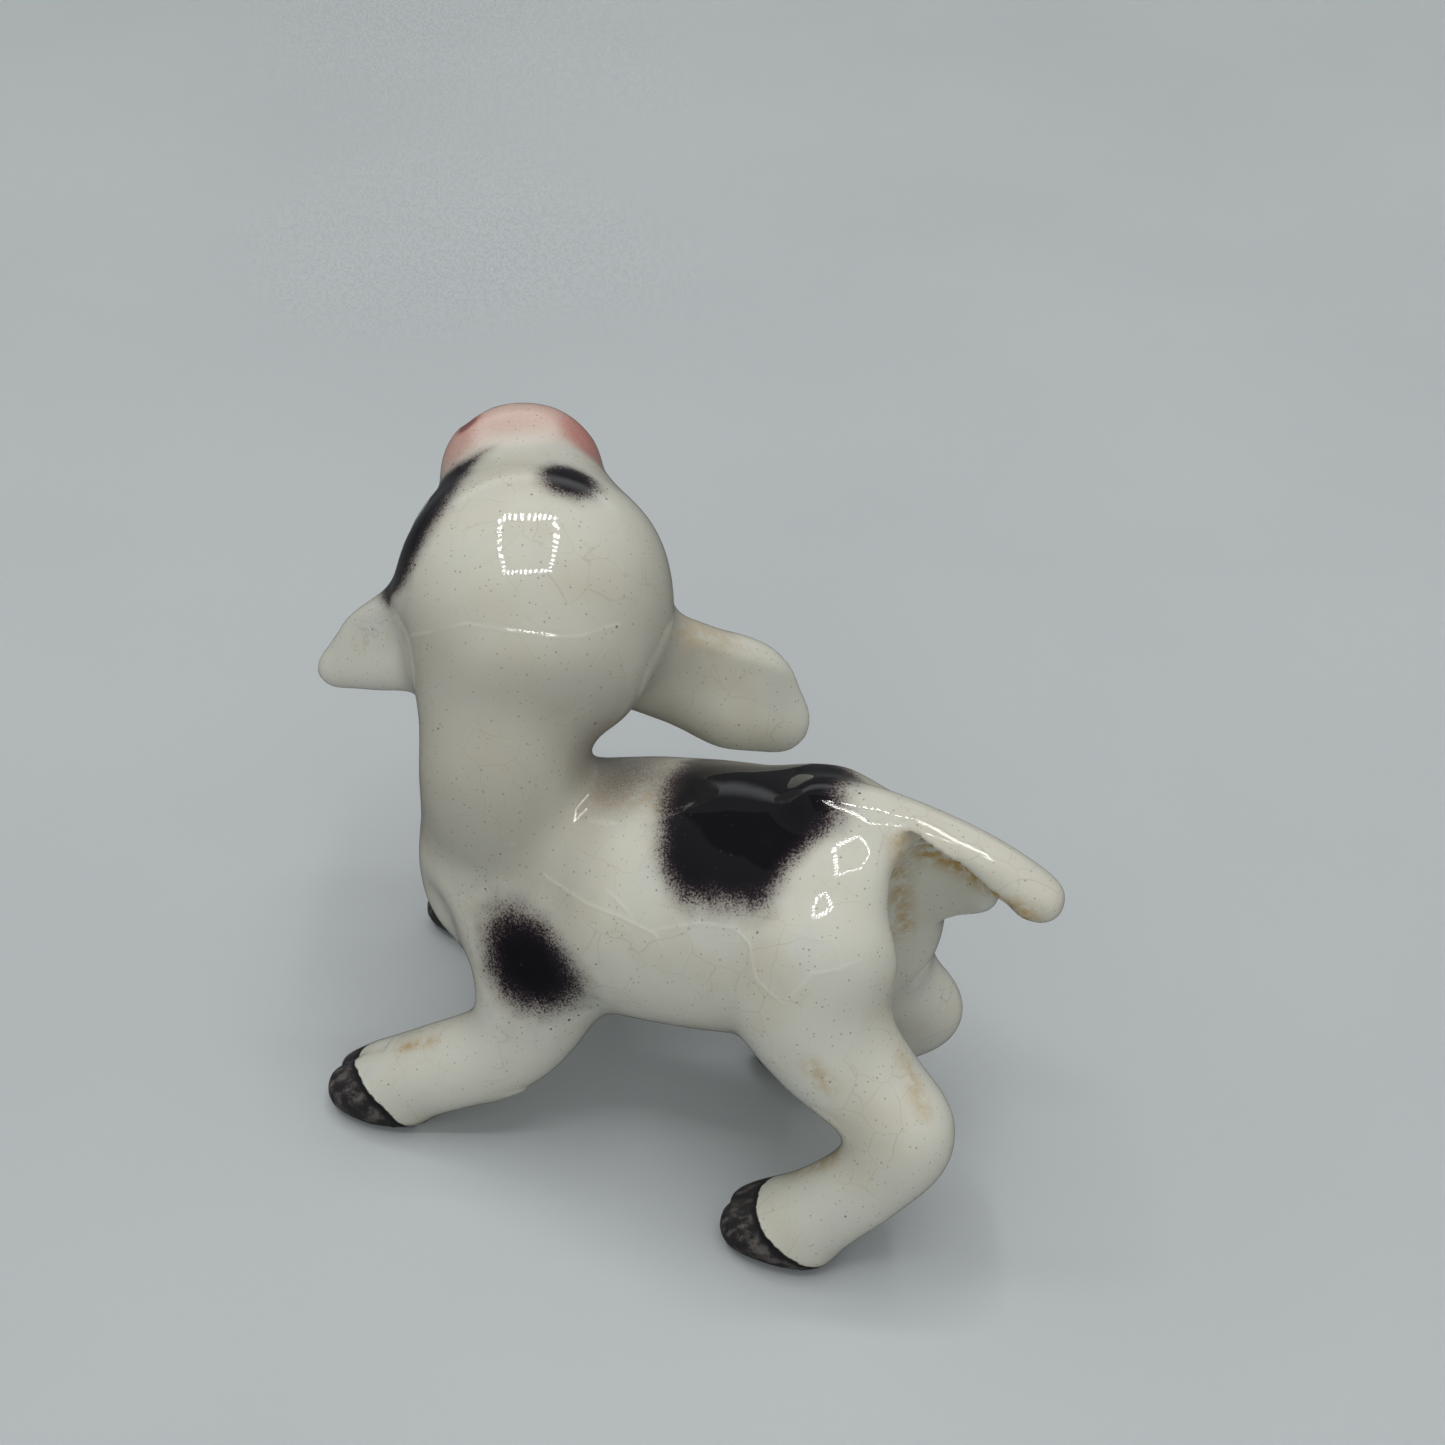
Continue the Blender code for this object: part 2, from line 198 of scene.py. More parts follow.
# cast surface: size of the skin's cells, rounds of smoothing and their strength
VOXEL = 0.38
SMOOTHING = 24
SMOOTHING_STRENGTH = 0.5
WELD_METRES = 1e-6
# what lies lower than this is a sole and isn't smoothed
SOLE_HEIGHT = 0.25


def apply_modifiers(obj):
    graph = bpy.context.evaluated_depsgraph_get()
    made = bpy.data.meshes.new_from_object(obj.evaluated_get(graph), depsgraph=graph)
    obj.modifiers.clear()
    old = obj.data
    obj.data = made
    bpy.data.meshes.remove(old)


def cast_copy():
    """The CAD calf as an even fine skin with its facets smoothed away, soles kept flat."""
    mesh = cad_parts["calf"].data.copy()
    bm = bmesh.new()
    bm.from_mesh(mesh)
    bmesh.ops.remove_doubles(bm, verts=bm.verts, dist=WELD_METRES)
    bm.to_mesh(mesh)
    bm.free()
    mesh.materials.clear()
    obj = bpy.data.objects.new("calf_cast", mesh)
    bpy.context.scene.collection.objects.link(obj)
    remesh = obj.modifiers.new("skin", "REMESH")
    remesh.mode = "VOXEL"
    remesh.voxel_size = VOXEL * MM
    apply_modifiers(obj)
    p = coordinates(obj.data)
    group = obj.vertex_groups.new(name="soft")
    free = np.nonzero(p[:, 2] > SOLE_HEIGHT)[0]
    group.add(free.tolist(), 1.0, "REPLACE")
    smooth = obj.modifiers.new("smooth", "SMOOTH")
    smooth.factor = SMOOTHING_STRENGTH
    smooth.iterations = SMOOTHING
    smooth.vertex_group = "soft"
    apply_modifiers(obj)
    obj.vertex_groups.clear()
    return obj


# edges of the faces this near to a thread are cut in half, once for each distance
THREAD_CUTS = (1.1, 0.6)


def refine_near_threads(obj):
    """Cuts the faces round the raised threads finer, so that a thread is real geometry."""
    bm = bmesh.new()
    bm.from_mesh(obj.data)
    for reach in THREAD_CUTS:
        bm.faces.ensure_lookup_table()
        middles = np.array([f.calc_center_median()[:] for f in bm.faces]) / MM
        near = np.nonzero(thread_distance(middles) < reach)[0]
        edges = {e for i in near for e in bm.faces[i].edges}
        bmesh.ops.subdivide_edges(bm, edges=list(edges), cuts=1, use_grid_fill=True)
    bmesh.ops.triangulate(bm, faces=[f for f in bm.faces if len(f.verts) > 4])
    bm.to_mesh(obj.data)
    bm.free()


def move(p, direction, amount):
    """Moves the rows of p along one direction, or one each, by an amount each."""
    p += direction * amount[:, None]


# hand-made unevenness of the glaze: waves a millimetre, and their height
WAVES = ((0.17, 0.09), (0.45, 0.012))


def make_uneven(p, n):
    move(p, n, np.array([sum(noise.noise(Vector(v) * scale) * height for scale, height in WAVES)
                         for v in p]))


# raised threads: height, half width, and the length over which an end fades
THREAD_HEIGHT = 0.030
THREAD_HALF = 0.16
THREAD_END = 1.0


def raise_threads(p, n):
    for points in THREADS:
        d = line_distance(p, points)
        ends = np.minimum(np.linalg.norm(p - np.array(points[0]), axis=1),
                          np.linalg.norm(p - np.array(points[-1]), axis=1))
        fade = smoothstep(0.0, THREAD_END, ends)
        move(p, n, THREAD_HEIGHT * bell(d, THREAD_HALF) * fade)


# ear hollow: middle along the ear, reach along it, half width and depth
EAR_HOLLOW_AT = 9.5
EAR_HOLLOW_REACH = 4.2
EAR_HOLLOW_HALF = 3.6
EAR_HOLLOW_DEPTH = 1.5
# it takes in what is in front of the ear's middle, but not the head, and not the ear's root
EAR_FRONT = (0.0, 0.8)
EAR_FRONT_END = (3.8, 2.6)
EAR_ROOT = 2.0
# the back of the ear: a thicker top rim and a dish below it, as place across, reach and height
EAR_RIM = (3.0, 1.1, 0.40)
EAR_DISH = (-0.4, 1.8, 0.30)
EAR_BACK = (0.3, -0.3)
EAR_BACK_START = (1.0, 4.0)
EAR_BACK_END = (17.0, 13.0)
EAR_HALF = 7.0


def ear_hollow(along, across, reach, half):
    return bell(along - EAR_HOLLOW_AT, reach) * np.clip(1.0 - (across / half) ** 2, 0.0, 1.0)


def shape_ears(p):
    for ear in EARS:
        front = unit(ear[3])
        along, across, ahead = ear_coordinates(p, ear)
        dip = ear_hollow(along, across, EAR_HOLLOW_REACH, EAR_HOLLOW_HALF)
        own = smoothstep(*EAR_FRONT, ahead) * smoothstep(*EAR_FRONT_END, ahead) * (along > EAR_ROOT)
        move(p, -front, EAR_HOLLOW_DEPTH * dip * own)
        back = smoothstep(*EAR_BACK, ahead) * smoothstep(*EAR_BACK_START, along)
        back = back * smoothstep(*EAR_BACK_END, along)
        rim = EAR_RIM[2] * bell(across - EAR_RIM[0], EAR_RIM[1])
        rim = rim - EAR_DISH[2] * bell(across - EAR_DISH[0], EAR_DISH[1])
        move(p, -front, rim * back * (np.abs(across) < EAR_HALF))


# lower edge of the tail, from the rump out
TAIL_EDGE_X = (19.9, 21.5, 23.5, 26.0, 28.3)
TAIL_EDGE_Z = (35.6, 34.9, 33.9, 32.1, 31.2)
# the hollow under that edge: depth, then its limits down, along and towards the tail's left side
TAIL_HOLLOW_DEPTH = 2.0
TAIL_HOLLOW_TOP = (0.0, 0.6)
TAIL_HOLLOW_FOOT = (29.0, 30.5)
TAIL_HOLLOW_START = (19.2, 20.4)
TAIL_HOLLOW_END = (28.6, 25.0)
TAIL_HOLLOW_INNER = (-3.4, -5.0)
TAIL_HOLLOW_OUTER = (-7.6, -6.9)


def undercut_tail(p):
    x, y, z = p.T
    edge_z = np.interp(x, TAIL_EDGE_X, TAIL_EDGE_Z)
    below = smoothstep(*TAIL_HOLLOW_TOP, edge_z - z) * smoothstep(*TAIL_HOLLOW_FOOT, z)
    inside = smoothstep(*TAIL_HOLLOW_START, x) * smoothstep(*TAIL_HOLLOW_END, x)
    near = smoothstep(*TAIL_HOLLOW_INNER, y) * smoothstep(*TAIL_HOLLOW_OUTER, y)
    p[:, 1] += TAIL_HOLLOW_DEPTH * below * inside * near


# swellings that carry the saddle on to a full haunch: middle, reach and height
HAUNCH_SWELLINGS = (((13.0, -9.5, 33.0), 3.0, 0.28), ((17.4, -10.2, 32.2), 4.2, 0.55))
# the chest is drawn in beside the far foreleg: middle, radii, depth and fading in shares
CHEST_DIP = ((-16.5, -10.5, 19.0), (3.2, 3.2, 4.2))
CHEST_DIP_DEPTH = 0.7
CHEST_DIP_FADE = (1.3, 0.0)


def shape_trunk(p, n):
    for centre, reach, height in HAUNCH_SWELLINGS:
        d = np.linalg.norm(p - np.array(centre), axis=1)
        move(p, n, height * bell(d, reach))
    move(p, -n, CHEST_DIP_DEPTH * smoothstep(*CHEST_DIP_FADE, blob(p, *CHEST_DIP)))


# nostrils in head coordinates: place to the side and up, radii and depth
NOSTRIL_SIDE = 3.5
NOSTRIL_UP = 1.6
NOSTRIL_RADII = (1.1, 0.8)
NOSTRIL_DEPTH = 0.7
# mouth line: how far under the skull's middle, how it curves up, half width and depth
MOUTH_DROP = 3.4
MOUTH_CURVE = 0.035
MOUTH_HALF = 0.4
MOUTH_DEPTH = 0.45
MOUTH_START = (12.0, 15.0)
# where the muzzle starts, forward of the skull's middle
MUZZLE_START = 13.0
# eyes: place out, forward and up, and the low swelling under the paint
EYE_OUT = 7.4
EYE_FORWARD = 8.2
EYE_UP = 0.6
EYE_RADII = (2.6, 2.2, 2.6)
EYE_HEIGHT = 0.35
EYE_FADE = (1.6, 0.8)


def above_mouth(right, up):
    return up + MOUTH_DROP - MOUTH_CURVE * right ** 2


def eye_centre(side, out):
    return SKULL + HEAD_RIGHT * side * out + HEAD_FORWARD * EYE_FORWARD + HEAD_UP * EYE_UP


def shape_face(p, n):
    right, forward, up = head_coordinates(p)
    for side in (-1.0, 1.0):
        d = np.sqrt(((right - side * NOSTRIL_SIDE) / NOSTRIL_RADII[0]) ** 2
                    + ((up - NOSTRIL_UP) / NOSTRIL_RADII[1]) ** 2)
        move(p, -HEAD_FORWARD, NOSTRIL_DEPTH * bell(d, 1.0) * (forward > MUZZLE_START))
    lip = bell(above_mouth(right, up), MOUTH_HALF)
    move(p, -n, MOUTH_DEPTH * lip * smoothstep(*MOUTH_START, forward))
    for side in (-1.0, 1.0):
        d = blob(p, eye_centre(side, EYE_OUT), EYE_RADII)
        move(p, n, EYE_HEIGHT * bell(d, 1.0) * smoothstep(*EYE_FADE, d))


# hoof clefts: limits ahead of the foot's middle, half width, depth, and the hoof they stay on
CLEFT_AHEAD = (1.5, 3.5)
CLEFT_HALF = 0.55
CLEFT_DEPTH = 0.3
CLEFT_HOOF_HALF = 4.0
CLEFT_TOP = 7.0


def cut_clefts(p):
    for (foot_x, foot_y), *_ in HOOVES:
        side = p[:, 1] - foot_y
        front = smoothstep(foot_x - CLEFT_AHEAD[0], foot_x - CLEFT_AHEAD[1], p[:, 0])
        front = front * (np.abs(side) < CLEFT_HOOF_HALF) * (p[:, 2] < CLEFT_TOP)
        p[:, 0] += CLEFT_DEPTH * front * bell(side, CLEFT_HALF)


# what starts lower than this is put back on the table at the end
FLAT_HEIGHT = 0.2


def sculpt(obj):
    """Small forms the CAD leaves out, as moves of the skin's points."""
    mesh = obj.data
    p = coordinates(mesh)
    n = normals(mesh)
    flat = p[:, 2] < FLAT_HEIGHT
    make_uneven(p, n)
    raise_threads(p, n)
    shape_ears(p)
    undercut_tail(p)
    shape_trunk(p, n)
    shape_face(p, n)
    cut_clefts(p)
    p[flat, 2] = 0.0
    p = np.clip(p, np.array(cad_low) / MM, np.array(cad_high) / MM)
    mesh.vertices.foreach_set("co", (p * MM).ravel())
    mesh.update()


# saddle patch in trunk coordinates: front edge, middle, half sizes and corner radius
SADDLE_FRONT = 0.6
SADDLE_MIDDLE = (7.4, 1.5)
SADDLE_HALF = (6.8, 7.4)
SADDLE_CORNER = 3.2
# down the side it leans back by a share of the way, and narrows between two places
SADDLE_LEAN = 0.40
SADDLE_NARROWING = 0.55
SADDLE_NARROWS = (1.0, 8.0)
SADDLE_BLUR = 3.2
TRUNK_TOP = (38.0, 37.0)
# cheek patch in head coordinates: inner edge with its slope and bow, front, back and lower edge
CHEEK_EDGE = 10.9
CHEEK_SLOPE = 0.58
CHEEK_SLOPE_COSINE = 0.86
CHEEK_BOW = 0.5
CHEEK_BOW_AT = 5.0
CHEEK_BOW_REACH = 3.0
CHEEK_FRONT = 11.6
CHEEK_BACK = 0.9
CHEEK_LOW = 1.1
CHEEK_LOW_SLOPE = 0.8
CHEEK_BLUR = 1.8
# sprayed spots: middle, radii, direction of the first radius, and the width of one share
SHOULDER_SPOT = ((-6.3, -14.4, 20.6), (4.5, 3.6, 3.5), (0.72, -0.1, -0.66), 3.8)
FAR_SPOT = ((-6.0, 6.5, 22.0), (3.6, 3.0, 3.4), (1, 0, 0), 3.2)
BROW_SPOT = ((-11.6, 5.1, 50.8), (2.05, 2.1, 2.2), (0.9, 0.3, -0.4), 2.0)
NAPE_SMUDGE = ((-2.6, -4.4, 32.6), (3.0, 3.4, 2.6), (1, 0, 0), 2.6)
SHOULDER_BLUR = 3.9
FAR_BLUR = 1.6
BROW_BLUR = 1.9
NAPE_BLUR = 2.4
NAPE_STRENGTH = 0.9
# stray drops past the edge of a patch: how far out, blur and density
SADDLE_STRAY = (2.0, 3.5, 0.20)
SHOULDER_STRAY = (3.0, 4.5, 0.24)


def spray(distance, blur):
    """Density of sprayed colour over an edge at distance 0: half there, none past the blur."""
    return smoothstep(blur, -blur, distance)


def spot_distance(p, spot):
    centre, radii, along, width = spot
    return (blob(p, centre, radii, along) - 1.0) * width


def strays(distance, out_blur_density):
    out, blur, density = out_blur_density
    return density * spray(distance - out, blur)


def saddle_distance(p):
    along, down = trunk_coordinates(p)
    narrowing = 1.0 + SADDLE_NARROWING * smoothstep(*SADDLE_NARROWS, down)
    past_front = along - SADDLE_FRONT - SADDLE_LEAN * np.maximum(down, 0.0)
    return rounded_box(SADDLE_FRONT + past_front * narrowing, down, SADDLE_MIDDLE, SADDLE_HALF,
                       SADDLE_CORNER)


def cheek_distance(p):
    right, forward, up = head_coordinates(p)
    bow = CHEEK_BOW * bell(forward - CHEEK_BOW_AT, CHEEK_BOW_REACH)
    inner = CHEEK_SLOPE_COSINE * (right + CHEEK_EDGE - CHEEK_SLOPE * forward - bow)
    lower = CHEEK_LOW - up - CHEEK_LOW_SLOPE * forward
    return np.maximum.reduce((inner, forward - CHEEK_FRONT, CHEEK_BACK - forward, lower))


def black_layer(p):
    on_trunk = smoothstep(*TRUNK_TOP, p[:, 2])
    saddle = saddle_distance(p)
    shoulder = spot_distance(p, SHOULDER_SPOT)
    return np.maximum.reduce((
        spray(saddle, SADDLE_BLUR) * on_trunk,
        strays(saddle, SADDLE_STRAY) * on_trunk,
        spray(shoulder, SHOULDER_BLUR),
        strays(shoulder, SHOULDER_STRAY) * on_trunk,
        spray(spot_distance(p, BROW_SPOT), BROW_BLUR),
        spray(cheek_distance(p), CHEEK_BLUR),
        spray(spot_distance(p, FAR_SPOT), FAR_BLUR),
    ))


# pink muzzle: where it starts, how far its edge bends round a level, and the head's half width
PINK_START = (10.5, 15.5)
PINK_BEND = 0.10
PINK_LEVEL = 4.0
HEAD_HALF = 9.5
# pink of the ear hollows: strength, reach, half width and limits in front of the ear
EAR_PINK = 0.8
EAR_PINK_REACH = 3.6
EAR_PINK_HALF = 3.4
EAR_PINK_FRONT = (-0.2, 0.6)
EAR_PINK_END = (3.6, 2.4)
# rose spots of the muzzle in head coordinates: middle, radii and strength
ROSES = (
    ((4.4, 14.4, 3.6), (2.3, 3.0, 2.4), 1.0),
    ((-5.6, 14.6, 2.4), (2.0, 2.6, 2.0), 0.5),
    ((-4.5, 16.4, 2.6), (1.4, 0.9, 0.9), 2.0),
)
ROSE_FADE = (1.5, 0.5)
MOUTH_PAINT = (0.7, 0.2)


def pink_layer(p):
    right, forward, up = head_coordinates(p)
    pink = smoothstep(*PINK_START, forward - PINK_BEND * np.abs(up - PINK_LEVEL))
    pink = pink * (np.abs(right) < HEAD_HALF)
    for ear in EARS:
        along, across, ahead = ear_coordinates(p, ear)
        inner = EAR_PINK * ear_hollow(along, across, EAR_PINK_REACH, EAR_PINK_HALF)
        inner = inner * smoothstep(*EAR_PINK_FRONT, ahead) * smoothstep(*EAR_PINK_END, ahead)
        pink = np.maximum(pink, inner)
    return pink


def rose_layer(p):
    places = head_coordinates(p)
    rose = np.zeros(len(p))
    for middle, radii, strength in ROSES:
        d = np.sqrt(sum(((q - m) / radius) ** 2 for q, m, radius in zip(places, middle, radii)))
        rose = np.maximum(rose, strength * smoothstep(*ROSE_FADE, d))
    right, forward, up = places
    mouth = smoothstep(*MOUTH_PAINT, np.abs(above_mouth(right, up)))
    return np.maximum(rose, mouth * (forward > MUZZLE_START))


# painted eyes: place out, radii along the head, across and up, and the part of the head they are on
EYE_PAINT_OUT = 7.6
EYE_PAINT_RADII = (1.2, 9.0, 1.6)
EYE_FRONT_OF = 4.0


def eye_layer(p):
    eyes = np.full(len(p), FAR_OFF)
    for side in (-1.0, 1.0):
        eye = eye_centre(side, EYE_PAINT_OUT)
        eyes = np.minimum(eyes, blob(p, eye, EYE_PAINT_RADII, HEAD_FORWARD, HEAD_UP))
    forward = head_coordinates(p)[1]
    return np.where(forward > EYE_FRONT_OF, eyes, FAR_OFF)


# box round a hoof in which its paint's edge counts: how far ahead its middle is, then its half
# sizes along and across and its top
HOOF_AHEAD = 2.0
HOOF_BOX = (9.0, 6.5, 8.0)


def hoof_layer(p):
    """Distance to the edge of a hoof's paint, below 0 on the painted side."""
    x, y, z = p.T
    hoof = np.full(len(p), FAR_OFF)
    for (foot_x, foot_y), rise, side, reach in HOOVES:
        edge = x - foot_x + rise * z - side * np.abs(y - foot_y) - reach
        edge = edge / math.sqrt(1.0 + rise ** 2 + side ** 2)
        here = (np.abs(x - foot_x + HOOF_AHEAD) < HOOF_BOX[0]) & (np.abs(y - foot_y) < HOOF_BOX[1])
        hoof = np.where(here & (z < HOOF_BOX[2]), np.minimum(hoof, edge), hoof)
    return hoof


# tan stains: polyline, width and strength
STAINS = (
    (((20.6, -1.8, 31.5), (22.7, -1.9, 31.0), (25.4, -3.6, 31.0), (28.1, -4.6, 30.6)), 1.7, 1.7),
    (((19.8, -6.2, 34.7), (18.9, -5.4, 32.5), (18.5, -3.0, 28.5), (18.8, -2.4, 23.5)), 1.2, 0.9),
    (((22.6, -11.7, 19.8), (23.8, -12.6, 18.7), (24.9, -13.6, 17.5)), 0.9, 0.6),
    (((17.1, -16.0, 21.0), (18.4, -15.9, 19.4)), 0.9, 0.65),
    (((14.5, -13.8, 7.4), (18.8, -14.2, 11.0)), 1.2, 0.8),
    (((-18.4, -15.4, 8.0), (-16.5, -15.2, 9.1), (-15.2, -15.2, 9.8)), 0.55, 1.0),
    (((-4.0, 8.4, 37.3), (-1.8, 10.6, 35.9)), 1.8, 0.5),
    (((-3.6, -6.4, 32.6), (2.0, -6.5, 33.2)), 2.0, 0.45),
    (((-9.5, 1.0, 27.5), (-4.5, -8.0, 29.5)), 2.4, 0.30),
)
STAIN_SPREAD = 1.5
# painted shade, darkening the neck and the lower back of the head where less light reaches: limits
# from above, below, behind and in front, and the spot of painted shade under the head
SHADE_TOP = (51.0, 42.0)
SHADE_FOOT = (23.0, 28.0)
SHADE_REAR = (0.5, -4.5)
SHADE_FRONT = (-22.5, -20.0)
NECK_SHADE = 0.6
UNDER_HEAD = ((-6.5, -2.5, 35.0), (3.6, 4.5, 4.5))
UNDER_HEAD_FADE = (1.5, 0.3)
UNDER_HEAD_SHADE = 0.4


def stain_layer(p):
    stain = np.zeros(len(p))
    for points, width, strength in STAINS:
        d = line_distance(p, points)
        stain = np.maximum(stain, strength * smoothstep(width * STAIN_SPREAD, 0.0, d))
    return stain


# painted shade: darkens the neck, the lower back of the head and the hollow under the head
def painted_shade_layer(p):
    x, y, z = p.T
    neck = smoothstep(*SHADE_TOP, z) * smoothstep(*SHADE_FOOT, z) * smoothstep(*SHADE_REAR, x)
    neck = neck * smoothstep(*SHADE_FRONT, x)
    under = smoothstep(*UNDER_HEAD_FADE, blob(p, *UNDER_HEAD))
    return NECK_SHADE * neck + UNDER_HEAD_SHADE * under


def paint(obj):
    """Writes where each colour lies as one number a point; the material does the fine grain."""
    mesh = obj.data
    p = coordinates(mesh)
    layers = {
        "black": black_layer(p),
        "grey": NAPE_STRENGTH * spray(spot_distance(p, NAPE_SMUDGE), NAPE_BLUR),
        "pink": pink_layer(p),
        "rose": rose_layer(p),
        "eyes": eye_layer(p),
        "hoof": hoof_layer(p),
        "stain": stain_layer(p),
        # painted shade on the neck and under the head
        "painted_shade": painted_shade_layer(p),
        "thread": np.minimum(thread_distance(p), FAR_OFF),
    }
    for name, values in layers.items():
        layer = mesh.attributes.new(name, "FLOAT", "POINT")
        layer.data.foreach_set("value", values.astype(np.float32))


# scattered dots: the smallest and largest as shares of the full size, and the solid share of one
DOT_SIZES = (0.5, 1.0)
DOT_EDGE = 0.55


class Tree:
    """Short names for the material nodes used below."""

    def __init__(self, tree):
        self.nodes = tree.nodes
        self.links = tree.links

    def plug(self, socket, value):
        if isinstance(value, bpy.types.NodeSocket):
            self.links.new(value, socket)
        else:
            socket.default_value = value

    def math(self, operation, a, b=0.0, c=0.0, clamp=False):
        node = self.nodes.new("ShaderNodeMath")
        node.operation = operation
        node.use_clamp = clamp
        for socket, value in zip(node.inputs, (a, b, c)):
            self.plug(socket, value)
        return node.outputs[0]

    def times(self, a, b, clamp=False):
        return self.math("MULTIPLY", a, b, clamp=clamp)

    def swing(self, value, reach):
        """A noise of 0 to 1 as a number from minus half the reach to plus half of it."""
        return self.times(self.math("SUBTRACT", value, 0.5), reach)

    def ramp(self, value, low, high, to_low=0.0, to_high=1.0):
        """A smooth way from one number to another as the value goes from low to high."""
        node = self.nodes.new("ShaderNodeMapRange")
        node.interpolation_type = "SMOOTHSTEP"
        for socket, v in zip(node.inputs, (value, low, high, to_low, to_high)):
            self.plug(socket, v)
        return node.outputs["Result"]

    def mix(self, share, one, two):
        node = self.nodes.new("ShaderNodeMix")
        node.data_type = "RGBA"
        self.plug(node.inputs["Factor"], share)
        for name, value in (("A", one), ("B", two)):
            socket = [s for s in node.inputs if s.name == name and s.type == "RGBA"][0]
            self.plug(socket, value)
        return [s for s in node.outputs if s.type == "RGBA"][0]

    def layer(self, name):
        node = self.nodes.new("ShaderNodeAttribute")
        node.attribute_name = name
        return node.outputs["Fac"]

    def vector(self, operation, a, b):
        node = self.nodes.new("ShaderNodeVectorMath")
        node.operation = operation
        self.plug(node.inputs[0], a)
        self.plug(node.inputs[1], b)
        return node.outputs[0]

    def place(self):
        """Object coordinates in millimetres."""
        node = self.nodes.new("ShaderNodeTexCoord")
        scale = self.nodes.new("ShaderNodeVectorMath")
        scale.operation = "SCALE"
        self.links.new(node.outputs["Object"], scale.inputs[0])
        scale.inputs["Scale"].default_value = 1.0 / MM
        return scale.outputs[0]

    def noise(self, where, scale, detail=2.0, rough=0.5):
        node = self.nodes.new("ShaderNodeTexNoise")
        self.plug(node.inputs["Vector"], where)
        node.inputs["Scale"].default_value = scale
        node.inputs["Detail"].default_value = detail
        node.inputs["Roughness"].default_value = rough
        return node.outputs["Fac"]

    def cells(self, where, scale, feature="F1"):
        node = self.nodes.new("ShaderNodeTexVoronoi")
        node.feature = feature
        self.plug(node.inputs["Vector"], where)
        node.inputs["Scale"].default_value = scale
        return node

    def dots(self, where, scale, size, share):
        """Scattered round dots: 1 inside. The share is how many of the cells hold one."""
        node = self.cells(where, scale)
        split = self.nodes.new("ShaderNodeSeparateColor")
        self.links.new(node.outputs["Color"], split.inputs[0])
        radius = self.times(self.ramp(split.outputs[1], 0.0, 1.0, *DOT_SIZES), size)
        inside = self.ramp(node.outputs["Distance"], radius, self.times(radius, DOT_EDGE))
        chosen = self.math("LESS_THAN", split.outputs[0], share)
        return self.times(inside, chosen)


IVORY = (0.605, 0.60, 0.525, 1.0)
WARM = (0.55, 0.515, 0.42, 1.0)
COOL = (0.56, 0.575, 0.54, 1.0)
# tone of the painted shade on the neck and under the head
PAINTED_SHADE_TONE = (0.34, 0.32, 0.265, 1.0)
CRACK = (0.30, 0.26, 0.19, 1.0)
# paler glaze on the raised threads, partly a painted highlight along them
PALE_THREAD_AND_GLINT = (0.80, 0.80, 0.75, 1.0)
PINK = (0.62, 0.36, 0.31, 1.0)
ROSE = (0.45, 0.165, 0.14, 1.0)
DARK_ROSE = (0.20, 0.085, 0.09, 1.0)
FINE_SPECK = (0.16, 0.12, 0.075, 1.0)
COARSE_SPECK = (0.07, 0.055, 0.05, 1.0)
TAN = (0.42, 0.285, 0.11, 1.0)
BLACK_HAZE = (0.085, 0.055, 0.058, 1.0)
BLACK_DROPS = (0.012, 0.008, 0.012, 1.0)
BLACK = (0.004, 0.004, 0.006, 1.0)
STRAY_DROP = (0.02, 0.015, 0.018, 1.0)
SMUDGE = (0.12, 0.105, 0.10, 1.0)
EYE = (0.012, 0.009, 0.008, 1.0)
HOOF_BLACK = (0.022, 0.021, 0.023, 1.0)
HOOF_WORN = (0.14, 0.12, 0.11, 1.0)
HOOF_RIM = (0.010, 0.010, 0.011, 1.0)

# the glaze itself, and how rough it is bare and under the hooves' paint
GLAZE_IOR = 1.45
GLAZE_ROUGHNESS = 0.05
HOOF_ROUGHNESS = 0.34
BUMP_STRENGTH = 0.03
BUMP_DISTANCE = 0.1
BRUSH_MARKS = 10.0
# the hooves' brush marks are drawn out in the direction with the smallest number
BRUSH_STRETCH = (0.8, 2.2, 0.7)


def bare_glaze(t, where):
    """Ivory with warm and cool clouds, painted shade on the neck and under the head, a faint net of
    cracks, and threads painted paler, partly as a painted highlight.
    """
    cloud = t.noise(where, scale=0.16, detail=3.0)
    body = t.mix(t.ramp(cloud, 0.40, 0.75, to_high=0.7), IVORY, WARM)
    body = t.mix(t.ramp(t.noise(where, scale=0.23), 0.50, 0.75, to_high=0.5), body, COOL)
    # painted shade on the neck, the lower back of the head and under the head
    body = t.mix(t.layer("painted_shade"), body, PAINTED_SHADE_TONE)
    bent = t.vector("ADD", where, t.noise(where, scale=0.5))
    net = t.cells(bent, 0.30, "DISTANCE_TO_EDGE")
    crack = t.times(t.ramp(net.outputs["Distance"], 0.014, 0.0),
                    t.ramp(cloud, 0.42, 0.60, to_low=0.05, to_high=0.30))
    body = t.mix(crack, body, CRACK)
    # the threads are painted paler, partly as a painted highlight along their tops
    thread = t.ramp(t.layer("thread"), 0.22, 0.08)
    return t.mix(t.times(thread, 0.12), body, PALE_THREAD_AND_GLINT)


def add_muzzle(t, where, body):
    """Pink and rose, a little grainy, and the darkest rose at the left nostril."""
    grain = t.noise(where, scale=3.2, detail=3.0, rough=0.7)
    pink = t.times(t.layer("pink"), t.ramp(grain, 0.25, 0.6, to_low=0.55), clamp=True)
    body = t.mix(t.times(pink, 0.72), body, PINK)
    rose = t.times(t.layer("rose"), t.ramp(grain, 0.2, 0.6, to_low=0.7), clamp=True)
    body = t.mix(t.times(rose, 0.85), body, ROSE)
    return t.mix(t.ramp(t.layer("rose"), 1.05, 1.8, to_high=0.85), body, DARK_ROSE)


